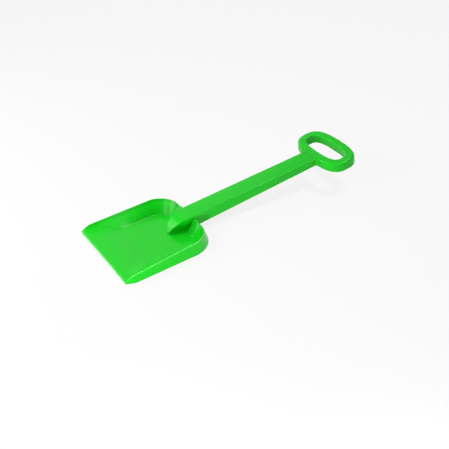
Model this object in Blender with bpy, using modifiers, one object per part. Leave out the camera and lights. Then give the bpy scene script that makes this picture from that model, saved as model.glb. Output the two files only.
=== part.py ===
# Kids snow shovel: a scoop blade, a ribbed channel shaft and a loop grip that plug together.
# Metres, +Z up. +Y runs from the blade's front to the grip; y below is measured from the front line,
# which the front corners pass by FRONT_REACH.

import math

import bmesh
import bpy
from mathutils import Vector

# Common to the three mouldings
BLADE_WALL = 0.0036         # moulding thickness of the blade
WALL = 0.0013               # moulding thickness of the shaft and the grip
GAP = 0.0003                # clearance where two mouldings meet
RIB = 0.0013                # thickness of a stiffening rib
THROUGH = 0.002             # how far a core reaches past the face it opens
GREEN = (0.030, 0.560, 0.034, 1.0)

# Overall length, front corners to the far side of the grip
LENGTH = 0.5022

# Scoop blade: floor and front lip
FLOOR = BLADE_WALL          # top of the flat floor
BEND_Y = 0.0568             # soft bend between the flat floor and the front lip
LIP_HEIGHT = 0.0050         # top of the front edge
LIP_UNDER = 0.0029          # underside of the front edge
LIP_UNDER_Y = 0.020         # where the underside reaches the ground
LIP_UNDER_POWER = 1.25      # how it curves down to it
LIP_CROWN = 0.0016          # how far the lip arches above a straight ramp
LIP_AHEAD = 0.0010          # how far the ends of the front edge pass the front line
LIP_HOLLOW = 0.0008         # how far its middle is drawn in

# Scoop blade: the three outlines of the wall, all with corners centred on one line
CORNER_Y = 0.127            # line of the corner centres
FRONT_HALF = 0.0803         # half-width at the front edge
FRONT_CORNER = 0.0022       # plan radius of the front corners
CREASE_BEND = 0.0510        # floor half-width at the bend
CREASE_HALF = 0.0573        # floor half-width at the corners
CREASE_BACK = 0.1490        # back of the floor
CREASE_POWER = 1.6          # the floor's back corners are flatter than a quarter circle, which has 2
RIM_HALF = 0.0749
RIM_BACK = 0.164
SKIRT_HALF = 0.0770
SKIRT_BACK = 0.1775
SKIRT_FLARE = 0.0043        # how far the skirt stands out beyond the rim near the front
FAN = 0.58                  # how the crease fans out to the front corner
FRONT_REACH = LIP_AHEAD - LIP_HOLLOW * (1 - (1 - FRONT_CORNER / FRONT_HALF) ** 2)

# Scoop blade: heights of the wall
KINK_Y = 0.0158             # where the rim turns down to the front corner
KINK_HEIGHT = 0.0145
KINK_POWER = 1.4            # how it curves down
RIM_RISE = 0.095            # rise of the rim for each metre towards the back
RIM_EASE = 0.045            # rise lost behind the line of the corner centres
RIM_THICK = 0.0026
BANK_BOW = 1.12             # hollow of the inner bank, 1 is straight
BANK_BOW_FRONT = 0.2        # more hollow towards the front corner
BANK_STEPS = (0.0, 0.12, 0.3, 0.55, 0.8, 1.0)
RIM_SHOULDER = 0.7          # drop of the rim's edges, for each unit of half its thickness
GUSSETS = (0.17, 0.44, 0.70, 0.96, 1.34, 1.66, 2.0)  # places along the wall, as in outline()
HOLLOW_TOP = 0.93           # share of the height where bank and skirt would meet
SADDLE_LEAN = (0.0050, 0.0045)  # slant of the hollow's walls below the shaft
FRONT_STATIONS = (0, 0.0003, 0.0009, FRONT_CORNER, 0.006, 0.011, KINK_Y, 0.020, 0.028, 0.038, 0.048)
SIDE_STATIONS = (BEND_Y, 0.0815, 0.104)

# Shaft
SHAFT_REF = 0.180           # section where the sizes below are given
SHAFT_TOP = 0.0326
SHAFT_RISE = 0.1015         # slope of the shaft above the blade's floor
SHAFT_HALF = 0.0167
SHAFT_DEPTH = 0.0205
SHAFT_DEPTH_LOSS = 0.0266   # depth lost for each metre towards the grip
DRAFT = 0.04                # how far the sides of the shaft and the loop lean out, for each unit of depth
SHAFT_ROUND = 0.003         # radius of the upper edges
SHAFT_CROWN = 0.0003
SHAFT_END = 0.424           # where the grip's neck begins
NARROW_START = 0.165        # where the shaft starts to narrow to its nose
FALL_START = 0.155          # where its top starts to fall to the floor
FALL_POWER = 2.85
NOSE_TIP = 0.1197
NOSE_STEPS = (0.0004, 0.001, 0.0022, 0.004, 0.0065, 0.0095, 0.0135, 0.018, 0.023, 0.029)  # behind the tip
CHANNEL_START = 0.180
CHANNEL_END = 0.404
CHANNEL_BAYS = 6

# Locating block on the blade's floor, inside the nose
BLOCK_Y = (0.1305, 0.1460)
BLOCK_HALF = (0.0083, 0.0126)
BLOCK_TOP = 0.0085
BLOCK_DRAFT = 0.0006

# Socket at the upper end of the shaft, and the grip's tongue
SOCKET_DEPTH = 0.020
TONGUE_LENGTH = 0.018
CATCH_SIZE = (0.010, 0.005)  # snap catch under the tongue's tip
CATCH_REACH = 0.0014

# Loop grip, in a plane that rises more than the shaft
LOOP_TILT = 0.066           # angle between the loop and the shaft
RING_CENTRE = 0.0404        # from the shaft's end
RING_HALF = (0.0614, 0.03425)
RING_POWER = 2.84           # superellipse power of the outer outline
HOLE_CENTRE = 0.0401
HOLE_HALF = (0.0461, 0.0195)
HOLE_POWER = 3.0
RING_DEPTH = 0.0173         # height of the loop's bar
RING_ROUND = 0.0040         # radius of the loop's outer upper edge
HOLE_ROUND = 0.0020
RING_DROP = 0.0004          # top of the loop below the shaft's top
RING_POINTS = 56
RING_BAYS = 8               # ribs under the loop
NECK_FLARE = 0.0045         # neck half-width gained in the fillets at the loop
NECK_REACH = 0.0135         # how far the neck runs into the loop's bar
NECK_FALL = 0.0028          # how far its top sinks on the way
CORE_SLANT = 0.0012         # slant of the hollows' outer walls under the loop


def remove_everything():
    for item in list(bpy.data.objects):
        bpy.data.objects.remove(item, do_unlink=True)


def make_collection(name):
    collection = bpy.data.collections.new(name)
    bpy.context.scene.collection.children.link(collection)
    return collection


def make_plastic(name, roughness):
    material = bpy.data.materials.new(name)
    material.use_nodes = True
    shader = material.node_tree.nodes["Principled BSDF"]
    shader.inputs["Base Color"].default_value = GREEN
    shader.inputs["Roughness"].default_value = roughness
    shader.inputs["Metallic"].default_value = 0.0
    return material


def add_object(name, bm, collection, parent):
    bmesh.ops.remove_doubles(bm, verts=bm.verts, dist=1e-6)
    bmesh.ops.recalc_face_normals(bm, faces=bm.faces)
    mesh = bpy.data.meshes.new(name)
    bm.to_mesh(mesh)
    bm.free()
    mesh.shade_smooth()
    mesh.set_sharp_from_angle(angle=math.radians(35))
    item = bpy.data.objects.new(name, mesh)
    item.parent = parent
    collection.objects.link(item)
    return item


def add_tool(name, bm, parent):
    # A core or an added form: never seen by itself.
    item = add_object(name, bm, tools, parent)
    item.hide_render = True
    item.display_type = "WIRE"
    return item


def cut_or_join(item, tool, operation):
    step = item.modifiers.new(tool.name, "BOOLEAN")
    step.operation = operation
    step.solver = "EXACT"
    step.object = tool


def add_mirror(item):
    mirror = item.modifiers.new("mirror", "MIRROR")
    mirror.merge_threshold = 0.00005


def loft(bm, rows, ring=False):
    # A closed body through closed sections that have the same number of points; a ring needs no end faces.
    grid = [[bm.verts.new(point) for point in row] for row in rows]
    count = len(rows[0])
    if ring:
        grid.append(grid[0])
    for lower, upper in zip(grid, grid[1:]):
        for k in range(count):
            n = (k + 1) % count
            bm.faces.new((lower[k], lower[n], upper[n], upper[k]))
    if not ring:
        bm.faces.new(grid[0])
        bm.faces.new(grid[-1])


def box(bm, low, high):
    size = Vector(high) - Vector(low)
    made = bmesh.ops.create_cube(bm, size=1.0)
    bmesh.ops.scale(bm, vec=size, verts=made["verts"])
    bmesh.ops.translate(bm, vec=Vector(low) + size / 2, verts=made["verts"])


def spread(start, end, count):
    return [start + (end - start) * k / count for k in range(count + 1)]


def superellipse(half, power, angle):
    c, s = math.cos(angle), math.sin(angle)
    x = math.copysign(abs(c) ** (2 / power), c) * half[0]
    y = math.copysign(abs(s) ** (2 / power), s) * half[1]
    return x, y


# Scoop blade


def front_share(y):
    # 0 at the bend and behind it, 1 at the front edge.
    return max(0.0, 1.0 - y / BEND_Y)


def floor_height(y):
    s = front_share(y)
    return FLOOR + (LIP_HEIGHT - FLOOR) * s + 4 * LIP_CROWN * s * (1 - s)


def underside(y):
    return LIP_UNDER * max(0.0, 1.0 - y / LIP_UNDER_Y) ** LIP_UNDER_POWER


def drawn_in(x, y):
    # Seen from above, the front edge is a shallow arc: its ends lie ahead of its middle.
    inward = LIP_HOLLOW * (1 - (x / FRONT_HALF) ** 2)
    return y + (inward - LIP_AHEAD) * front_share(y)


def rim_half(y):
    half = FRONT_HALF + (RIM_HALF - FRONT_HALF) * y / CORNER_Y
    if y < FRONT_CORNER:
        half -= FRONT_CORNER - math.sqrt(FRONT_CORNER ** 2 - (FRONT_CORNER - y) ** 2)
    return half


def crease_half(y):
    s = front_share(y) ** FAN
    if s > 0:
        return CREASE_BEND + (rim_half(y) - CREASE_BEND) * s
    return CREASE_BEND + (CREASE_HALF - CREASE_BEND) * (y - BEND_Y) / (CORNER_Y - BEND_Y)


def skirt_half(y):
    flare = SKIRT_FLARE + (SKIRT_HALF - RIM_HALF - SKIRT_FLARE) * y / CORNER_Y
    return rim_half(y) + flare * min(1.0, y / KINK_Y)


def rim_height(y):
    height = KINK_HEIGHT + RIM_RISE * (y - KINK_Y) - RIM_EASE * max(0.0, y - CORNER_Y)
    if y < KINK_Y:
        start = KINK_HEIGHT - RIM_RISE * KINK_Y
        height -= (start - LIP_HEIGHT) * (1 - y / KINK_Y) ** KINK_POWER
    return height


def bank_bow(y):
    return BANK_BOW + BANK_BOW_FRONT * front_share(y)


def outline(t, half_at, half_corner, back, power=2.0):
    # U-shaped outline: straight side for t from 0 to 1, superellipse corner to 2, straight back to 3.
    radius = back - CORNER_Y
    centre = half_corner - radius
    if t <= 1:
        return Vector((half_at(t * CORNER_Y), t * CORNER_Y))
    if t <= 2:
        x, y = superellipse((radius, radius), power, (t - 1) * math.pi / 2)
        return Vector((centre + x, CORNER_Y + y))
    return Vector((centre * (3 - t), back))


def wall_lines(t):
    crease = outline(t, crease_half, CREASE_HALF, CREASE_BACK, CREASE_POWER)
    rim = outline(t, rim_half, RIM_HALF, RIM_BACK)
    skirt = outline(t, skirt_half, SKIRT_HALF, SKIRT_BACK)
    return crease, rim, skirt


def wall_section(t):
    # From the floor's crease up the bank, over the rounded rim and down the skirt.
    crease, rim, skirt = wall_lines(t)
    base = floor_height(crease.y)
    top = rim_height(rim.y)
    edge = RIM_THICK / 2 * min(1.0, rim.y / KINK_Y)
    across = (skirt - crease).normalized()
    inner = rim - across * edge
    outer = rim + across * edge
    shoulder = top - edge * RIM_SHOULDER
    bow = bank_bow(crease.y)
    line = [(crease.lerp(inner, v), base + (shoulder - base) * v ** bow) for v in BANK_STEPS]
    line += [(rim, top), (outer, shoulder), (skirt, underside(skirt.y))]
    return [(spot.x, spot.y, z) for spot, z in line]


def wall_hollow(t):
    # Section of the hollow below the rim: the bank and the skirt moved in by the wall's thickness.
    crease, rim, skirt = wall_lines(t)
    across = (skirt - crease).normalized()
    base = floor_height(crease.y)
    top = rim_height(rim.y)
    reach = (rim - crease).dot(across)
    foot = (skirt - crease).dot(across)
    bank_run = reach / (top - base)
    skirt_run = (reach - foot) / top
    # The bowed bank hangs below its chord by this much, so the hollow keeps that much more away.
    bow = bank_bow(crease.y)
    dip = bow ** (1 / (1 - bow)) - bow ** (bow / (1 - bow))
    thick = BLADE_WALL + dip * reach / math.hypot(1, bank_run)
    bank_foot = thick * math.hypot(1, bank_run) - bank_run * base
    skirt_foot = foot - BLADE_WALL * math.hypot(1, skirt_run)
    peak = HOLLOW_TOP * (skirt_foot - bank_foot) / (bank_run - skirt_run)
    line = [(bank_foot + bank_run * z, z) for z in (-THROUGH, peak)]
    line += [(skirt_foot + skirt_run * z, z) for z in (peak, -THROUGH)]
    return [((crease + across * p).x, (crease + across * p).y, z) for p, z in line]


def blade_half():
    bm = bmesh.new()
    lows = FRONT_STATIONS + SIDE_STATIONS
    stations = [y / CORNER_Y for y in lows] + spread(1.0, 2.0, 9) + spread(2.0, 3.0, 3)[1:]
    grid = [[bm.verts.new(point) for point in wall_section(t)] for t in stations]
    for near, far in zip(grid, grid[1:]):
        for k in range(len(near) - 1):
            bm.faces.new((near[k], near[k + 1], far[k + 1], far[k]))
    # Lip strips and flat floor, from the middle line to the crease
    bend = len(FRONT_STATIONS)
    middle = [bm.verts.new((0, y, floor_height(y))) for y in lows[:bend + 1]]
    for k in range(bend):
        bm.faces.new((middle[k], grid[k][0], grid[k + 1][0], middle[k + 1]))
    bm.faces.new([middle[bend]] + [row[0] for row in grid[bend:]])
    # Underside and front edge
    flat = next(k for k, y in enumerate(lows) if y >= LIP_UNDER_Y)
    below = [bm.verts.new((0, y, underside(y))) for y in lows[:flat + 1]]
    for k in range(flat):
        bm.faces.new((below[k], grid[k][-1], grid[k + 1][-1], below[k + 1]))
    bm.faces.new([below[flat]] + [row[-1] for row in grid[flat:]])
    bm.faces.new((middle[0], grid[0][0], grid[0][-1], below[0]))
    for vert in bm.verts:
        vert.co.y = drawn_in(vert.co.x, vert.co.y)
    return bm


def blade_hollows():
    # Hollows under the rim, with a thin gusset left between each pair.
    bm = bmesh.new()
    half_rib = 0.5 * RIB / CORNER_Y
    for start, end in zip(GUSSETS, GUSSETS[1:]):
        loft(bm, [wall_hollow(t) for t in spread(start + half_rib, end - half_rib, 4)])
    return bm


def blade_saddle_hollow():
    # Lower hollow below the place where the shaft lies in the back wall.
    bm = bmesh.new()
    half = outline(2.0, rim_half, SKIRT_HALF, SKIRT_BACK).x - RIB
    roof = shaft_under(CREASE_BACK) - GAP - BLADE_WALL
    foot = (CREASE_BACK + 1.6 * BLADE_WALL, SKIRT_BACK - 1.2 * BLADE_WALL)
    rows = []
    for x in (-half, half):
        rows.append([(x, foot[0], -THROUGH), (x, foot[0] + SADDLE_LEAN[0], roof),
                     (x, foot[1] - SADDLE_LEAN[1], roof), (x, foot[1], -THROUGH)])
    loft(bm, rows)
    return bm


def shaft_notch():
    # The shaft's own section, grown by the clearance, through the back wall.
    bm = bmesh.new()
    rows = []
    for y in (CREASE_BACK - 0.002, SKIRT_BACK + 0.004):
        half = SHAFT_HALF + DRAFT * SHAFT_DEPTH + GAP
        rows.append([(half, y, shaft_under(y) - GAP), (half, y, 2 * SHAFT_TOP),
                     (-half, y, 2 * SHAFT_TOP), (-half, y, shaft_under(y) - GAP)])
    loft(bm, rows)
    return bm


def locating_block(inset, low, top):
    bm = bmesh.new()
    rows = []
    for y, half, sign in zip(BLOCK_Y, BLOCK_HALF, (1, -1)):
        wide = half - inset
        narrow = wide - BLOCK_DRAFT
        place = y + sign * inset
        rows.append([(wide, place, low), (narrow, place + sign * BLOCK_DRAFT, top),
                     (-narrow, place + sign * BLOCK_DRAFT, top), (-wide, place, low)])
    loft(bm, rows)
    return bm


def make_scoop_blade():
    blade = add_object("scoop_blade", blade_half(), parts, root)
    add_mirror(blade)
    hollows = add_tool("rim_hollows", blade_hollows(), root)
    add_mirror(hollows)
    cut_or_join(blade, hollows, "DIFFERENCE")
    cut_or_join(blade, add_tool("saddle_hollow", blade_saddle_hollow(), root), "DIFFERENCE")
    cut_or_join(blade, add_tool("shaft_notch", shaft_notch(), root), "DIFFERENCE")
    block = locating_block(0, FLOOR / 2, BLOCK_TOP)
    cut_or_join(blade, add_tool("locating_block", block, root), "UNION")
    core = locating_block(BLADE_WALL, -THROUGH, BLOCK_TOP - BLADE_WALL)
    cut_or_join(blade, add_tool("block_core", core, root), "DIFFERENCE")
    blade.data.materials.append(make_plastic("blade_plastic", 0.26))


# Shaft


def top_line(y):
    return SHAFT_TOP + SHAFT_RISE * (y - SHAFT_REF)


def nose_share(y, start):
    # 0 where the nose starts, 1 at its tip.
    return min(1.0, max(0.0, (start - y) / (start - NOSE_TIP)))


def shaft_top(y):
    # The height above the floor shrinks slowly at first, then quickly at the tip.
    floor = FLOOR + GAP
    return floor + (top_line(y) - floor) * (1 - nose_share(y, FALL_START) ** FALL_POWER)


def shaft_half(y):
    return SHAFT_HALF * math.sqrt(1 - nose_share(y, NARROW_START) ** 2)


def shaft_under(y):
    return top_line(y) - SHAFT_DEPTH + SHAFT_DEPTH_LOSS * (y - SHAFT_REF)


def shaft_bottom(y):
    # On the floor, then up the bank of the back wall, then along the shaft's lower edge.
    slope = (rim_height(RIM_BACK) - FLOOR) / (RIM_BACK - CREASE_BACK)
    bank = FLOOR + slope * (y - CREASE_BACK) + GAP * math.hypot(1, slope)
    return min(shaft_under(y), max(FLOOR + GAP, bank))


def shaft_lean(y):
    # Sections stand upright at the nose and square to the shaft further up.
    share = (y - NARROW_START) / (SHAFT_REF - NARROW_START)
    return SHAFT_RISE * min(1.0, max(0.0, share))


def leaned(x, y, z):
    return Vector((x, y + shaft_lean(y) * (shaft_top(y) - z), z))


def rounded_profile(half, wide, top, bottom, crown):
    # Half-width at the top and at the bottom edge; the upper edges are rounded, the top is crowned.
    radius = min(SHAFT_ROUND, 0.6 * half, 0.6 * (top - bottom))
    centre = (half - radius, top - radius)
    right = [(wide, bottom)]
    for angle in spread(0, math.pi / 2, 4):
        right.append((centre[0] + radius * math.cos(angle), centre[1] + radius * math.sin(angle)))
    left = [(-x, z) for x, z in reversed(right)]
    return right + [(0, top + crown)] + left


def shaft_section(y):
    half = shaft_half(y)
    top = shaft_top(y)
    bottom = shaft_bottom(y)
    wide = half + DRAFT * (top - bottom)
    crown = SHAFT_CROWN * half / SHAFT_HALF
    return [leaned(x, y, z) for x, z in rounded_profile(half, wide, top, bottom, crown)]


def shaft_core(bm, start, end, count):
    # One bay of the channel, open below.
    rows = []
    for y in spread(start, end, count):
        half = shaft_half(y) - WALL
        roof = shaft_top(y) - WALL
        low = shaft_bottom(y) - THROUGH
        wide = half + DRAFT * (roof - low)
        line = ((wide, low), (half, roof), (-half, roof), (-wide, low))
        rows.append([leaned(x, y, z) for x, z in line])
    loft(bm, rows)


def shaft_cores():
    bm = bmesh.new()
    nose_rib = CREASE_BACK - RIB
    shaft_core(bm, BLOCK_Y[0] - GAP - RIB / 2, nose_rib, 5)
    shaft_core(bm, nose_rib + RIB, CHANNEL_START - RIB, 6)
    bays = spread(CHANNEL_START, CHANNEL_END, CHANNEL_BAYS)
    for start, end in zip(bays, bays[1:]):
        shaft_core(bm, start, end - RIB, 1)
    return bm


def make_shaft():
    bm = bmesh.new()
    nose = [NOSE_TIP + step for step in NOSE_STEPS]
    climb = [y for y in spread(CREASE_BACK, NARROW_START, 200) if shaft_bottom(y) < shaft_under(y)]
    rest = [FALL_START, NARROW_START, SHAFT_REF, 0.5 * (SHAFT_REF + SHAFT_END), SHAFT_END]
    loft(bm, [shaft_section(y) for y in sorted(nose + [climb[0], climb[-1]] + rest)])
    shaft = add_object("shaft", bm, parts, root)
    cut_or_join(shaft, add_tool("channel_cores", shaft_cores(), root), "DIFFERENCE")
    half, roof, floor = socket_size()
    socket = bmesh.new()
    box(socket, (-half, -SOCKET_DEPTH, floor), (half, THROUGH, roof))
    cut_or_join(shaft, add_tool("grip_socket", socket, seat), "DIFFERENCE")
    window = bmesh.new()
    wide = CATCH_SIZE[0] / 2 + GAP
    near, far = -TONGUE_LENGTH - GAP, -TONGUE_LENGTH + CATCH_SIZE[1] + GAP
    box(window, (-wide, near, floor - 2 * WALL), (wide, far, floor + WALL))
    cut_or_join(shaft, add_tool("catch_window", window, seat), "DIFFERENCE")
    shaft.data.materials.append(make_plastic("shaft_plastic", 0.28))


def end_depth():
    # Depth of the shaft's end, square to its top.
    return (top_line(SHAFT_END) - shaft_under(SHAFT_END)) / math.hypot(1, SHAFT_RISE)


def socket_size():
    # Half-width, roof and floor of the socket, in the frame of the shaft's end.
    return SHAFT_HALF - WALL, -WALL, WALL - end_depth()


# Loop grip: the ring lies in the tilted plane, the neck and the tongue in the frame of the shaft's end


def ring_lines(angle, below, inset):
    # Points of the outer outline and of the hole's outline at a depth below the top, moved into the bar.
    lean = DRAFT * below - inset
    outer = superellipse((RING_HALF[0] + lean, RING_HALF[1] + lean), RING_POWER, angle)
    hole = superellipse((HOLE_HALF[0] - lean, HOLE_HALF[1] - lean), HOLE_POWER, angle)
    return Vector((outer[0], outer[1] + RING_CENTRE)), Vector((hole[0], hole[1] + HOLE_CENTRE))


def ring_section(angle):
    # Up the outer side, over the rounded upper edges and down the hole's side.
    line = [(ring_lines(angle, RING_DEPTH, 0)[0], RING_DEPTH)]
    for turn in spread(0, math.pi / 2, 4):
        below = RING_ROUND * (1 - math.sin(turn))
        line.append((ring_lines(angle, below, RING_ROUND * (1 - math.cos(turn)))[0], below))
    for turn in spread(math.pi / 2, 0, 3):
        below = HOLE_ROUND * (1 - math.sin(turn))
        line.append((ring_lines(angle, below, HOLE_ROUND * (1 - math.cos(turn)))[1], below))
    line.append((ring_lines(angle, RING_DEPTH, 0)[1], RING_DEPTH))
    return [(spot.x, spot.y, -RING_DROP - below) for spot, below in line]


def ring_body():
    bm = bmesh.new()
    angles = spread(0, 2 * math.pi, RING_POINTS)[:-1]
    loft(bm, [ring_section(angle) for angle in angles], ring=True)
    return bm


def neck_body():
    # The shaft's end section, flaring into the loop's near bar while its top sinks into it.
    bm = bmesh.new()
    near = RING_CENTRE - RING_HALF[1]
    depth = end_depth()
    rows = []
    for y in spread(GAP, near + NECK_REACH, 8):
        share = (y - GAP) / (near + NECK_REACH)
        run = min(1.0, y / (near + RING_ROUND / 4))
        half = SHAFT_HALF + NECK_FLARE * (1 - math.sqrt(1 - run * run))
        wide = half + DRAFT * depth * (1 - share)
        bottom = -depth + (depth - RING_DEPTH + WALL) * share
        line = rounded_profile(half, wide, -NECK_FALL * share ** 2, bottom, SHAFT_CROWN * (1 - share))
        rows.append([(x, y, z + math.tan(LOOP_TILT) * y) for x, z in line])
    loft(bm, rows)
    return bm


def ring_cores():
    # Hollows under the loop, with a radial rib left between each pair.
    bm = bmesh.new()
    low = RING_DEPTH + THROUGH
    half_rib = 0.5 * RIB / RING_HALF[1]
    ends = spread(-0.5 * math.pi, 1.5 * math.pi, RING_BAYS)
    for start, end in zip(ends, ends[1:]):
        rows = []
        for angle in spread(start + half_rib, end - half_rib, 6):
            outer = ring_lines(angle, WALL, WALL + CORE_SLANT)[0]
            hole = ring_lines(angle, WALL, WALL)[1]
            low_outer, low_hole = ring_lines(angle, low, WALL)
            section = ((low_hole, low), (hole, WALL), (outer, WALL), (low_outer, low))
            rows.append([(spot.x, spot.y, -RING_DROP - below) for spot, below in section])
        loft(bm, rows)
    return bm


def make_loop_grip():
    grip = add_object("loop_grip", ring_body(), parts, plane)
    cut_or_join(grip, add_tool("loop_hollows", ring_cores(), plane), "DIFFERENCE")
    cut_or_join(grip, add_tool("neck", neck_body(), seat), "UNION")
    half, roof, floor = socket_size()
    tongue = bmesh.new()
    box(tongue, (GAP - half, -TONGUE_LENGTH, floor + GAP), (half - GAP, 2 * WALL, roof - GAP))
    cut_or_join(grip, add_tool("tongue", tongue, seat), "UNION")
    inside = half - GAP - WALL
    low = floor - WALL - THROUGH
    top = roof - GAP - WALL
    bar_end = HOLE_CENTRE - HOLE_HALF[1] - WALL
    hollow = bmesh.new()
    box(hollow, (-inside, WALL - TONGUE_LENGTH, low), (inside, -WALL, top))
    box(hollow, (-inside, GAP + WALL, low), (inside, bar_end, top))
    cut_or_join(grip, add_tool("tongue_hollow", hollow, seat), "DIFFERENCE")
    catch = bmesh.new()
    wide = CATCH_SIZE[0] / 2
    box(catch, (-wide, -TONGUE_LENGTH, floor + GAP - CATCH_REACH),
        (wide, CATCH_SIZE[1] - TONGUE_LENGTH, floor + CATCH_SIZE[1]))
    cut_or_join(grip, add_tool("snap_catch", catch, seat), "UNION")
    grip.data.materials.append(make_plastic("grip_plastic", 0.3))


remove_everything()
parts = make_collection("kids_snow_shovel")
tools = make_collection("cores")
root = bpy.data.objects.new("shovel_frame", None)
root.location = (0, FRONT_REACH - LENGTH / 2, 0)
parts.objects.link(root)
seat = bpy.data.objects.new("shaft_end", None)
seat.parent = root
seat.location = (0, SHAFT_END, top_line(SHAFT_END))
seat.rotation_euler = (math.atan(SHAFT_RISE), 0, 0)
parts.objects.link(seat)
plane = bpy.data.objects.new("loop_plane", None)
plane.parent = seat
plane.rotation_euler = (LOOP_TILT, 0, 0)
parts.objects.link(plane)
make_scoop_blade()
make_shaft()
make_loop_grip()
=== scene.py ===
import math

import bmesh
import bpy
import numpy as np
from mathutils import Matrix, Vector


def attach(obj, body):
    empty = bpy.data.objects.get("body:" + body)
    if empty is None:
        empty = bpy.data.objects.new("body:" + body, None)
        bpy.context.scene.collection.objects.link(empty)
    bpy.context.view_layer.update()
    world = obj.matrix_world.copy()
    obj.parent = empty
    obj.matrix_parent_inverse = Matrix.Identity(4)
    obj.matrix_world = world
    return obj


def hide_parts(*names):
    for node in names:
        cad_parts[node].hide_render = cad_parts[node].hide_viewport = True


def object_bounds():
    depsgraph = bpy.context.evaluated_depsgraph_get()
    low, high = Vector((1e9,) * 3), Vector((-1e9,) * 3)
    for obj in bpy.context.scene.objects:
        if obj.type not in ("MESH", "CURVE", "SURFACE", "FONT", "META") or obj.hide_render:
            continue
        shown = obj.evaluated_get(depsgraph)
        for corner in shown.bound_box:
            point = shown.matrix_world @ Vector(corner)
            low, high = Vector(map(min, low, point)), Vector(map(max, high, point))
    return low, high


# Small one-hand snow shovel: scoop blade, channel shaft, loop grip. y runs from the front edge to the grip.
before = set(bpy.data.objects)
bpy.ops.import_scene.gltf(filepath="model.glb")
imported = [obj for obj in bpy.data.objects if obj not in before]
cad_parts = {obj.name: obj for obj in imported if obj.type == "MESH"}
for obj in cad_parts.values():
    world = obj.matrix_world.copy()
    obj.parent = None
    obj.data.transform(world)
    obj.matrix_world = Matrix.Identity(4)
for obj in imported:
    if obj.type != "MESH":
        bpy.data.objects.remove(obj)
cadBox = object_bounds()
scene = bpy.context.scene
print("frame loaded:", sorted(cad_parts))

common = {
    "gap": 0.0003,          # clearance between two mouldings
    "rib": 0.0013,          # thickness of ribs and gussets
    "hollowRound": 0.0012,  # rounding inside the hollows
    "sharpAngle": 48,       # edges steeper than this stay crisp, degrees
}


def smoothStep(low, high, x):
    # 0 below low, 1 above high, and 3q^2 - 2q^3 between
    q = np.clip((x - low) / (high - low), 0, 1)
    return q * q * (3 - 2 * q)


def softPositive(x, soft):
    # max(0, x) with its corner rounded: half of x + sqrt(x^2 + soft^2)
    return 0.5 * (x + np.sqrt(x * x + soft * soft))


def roundedLine(corners, cuts, runs, bends):
    # Each row is a polyline of corners. A corner becomes a parabola that begins one cut before it and ends one
    # cut after it: (1-q)^2 start + 2q(1-q) corner + q^2 end. Straight runs between are split evenly.
    # Also returns, for each sample, which corner it belongs to and how near the middle of the bend it is.
    step = np.diff(corners, axis=1)
    size = np.linalg.norm(step, axis=2)
    way = step / np.maximum(size, 1e-9)[..., None]
    cut = np.broadcast_to(np.asarray(cuts, float), corners.shape[:2]).copy()
    cut[:, 0] = cut[:, -1] = 0
    fit = np.minimum(1, 0.96 * size / np.maximum(cut[:, :-1] + cut[:, 1:], 1e-9))      # cuts share a short stretch
    cut[:, 1:-1] *= np.minimum(fit[:, :-1], fit[:, 1:])
    points, owner, near = [corners[:, :1]], [0], [0.0]
    for k in range(1, corners.shape[1]):
        begin = corners[:, k - 1] + way[:, k - 1] * cut[:, k - 1, None]
        start = corners[:, k] - way[:, k - 1] * cut[:, k, None]
        q = np.linspace(0, 1, runs[k - 1] + 1)[1:]
        points.append(begin[:, None] + (start - begin)[:, None] * q[None, :, None])
        owner += [k] * len(q)
        near += [0.0] * len(q)
        if k < corners.shape[1] - 1 and bends[k] > 0:
            end = corners[:, k] + way[:, k] * cut[:, k, None]
            q = np.linspace(0, 1, bends[k] + 1)[1:]
            w = q[None, :, None]
            points.append((1 - w) ** 2 * start[:, None] + 2 * w * (1 - w) * corners[:, k][:, None]
                          + w * w * end[:, None])
            owner += [k] * len(q)
            near += list(1 - np.abs(2 * q - 1))
    return np.concatenate(points, axis=1), np.array(owner), np.array(near)


def gridFaces(rows, columns, closeRows=False):
    # Quads of a grid whose points are numbered row by row
    r = np.arange(rows if closeRows else rows - 1)[:, None]
    c = np.arange(columns - 1)[None]
    n = (r + 1) % rows
    quads = [r * columns + c, r * columns + c + 1, n * columns + c + 1, n * columns + c]
    return np.stack(quads, -1).reshape(-1, 4)


def plates(sections, ways, thick):
    # Flat plates: each section (a quad) stands twice, half a thickness to either side along its own way
    half = 0.5 * thick * ways[:, None]
    both = np.concatenate([sections - half, sections + half], axis=1)
    quads = np.array([[0, 1, 2, 3], [7, 6, 5, 4], [0, 4, 5, 1], [1, 5, 6, 2], [2, 6, 7, 3], [3, 7, 4, 0]])
    faces = (np.arange(len(sections)) * 8)[:, None, None] + quads[None]
    return both.reshape(-1, 3), faces.reshape(-1, 4)


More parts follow.
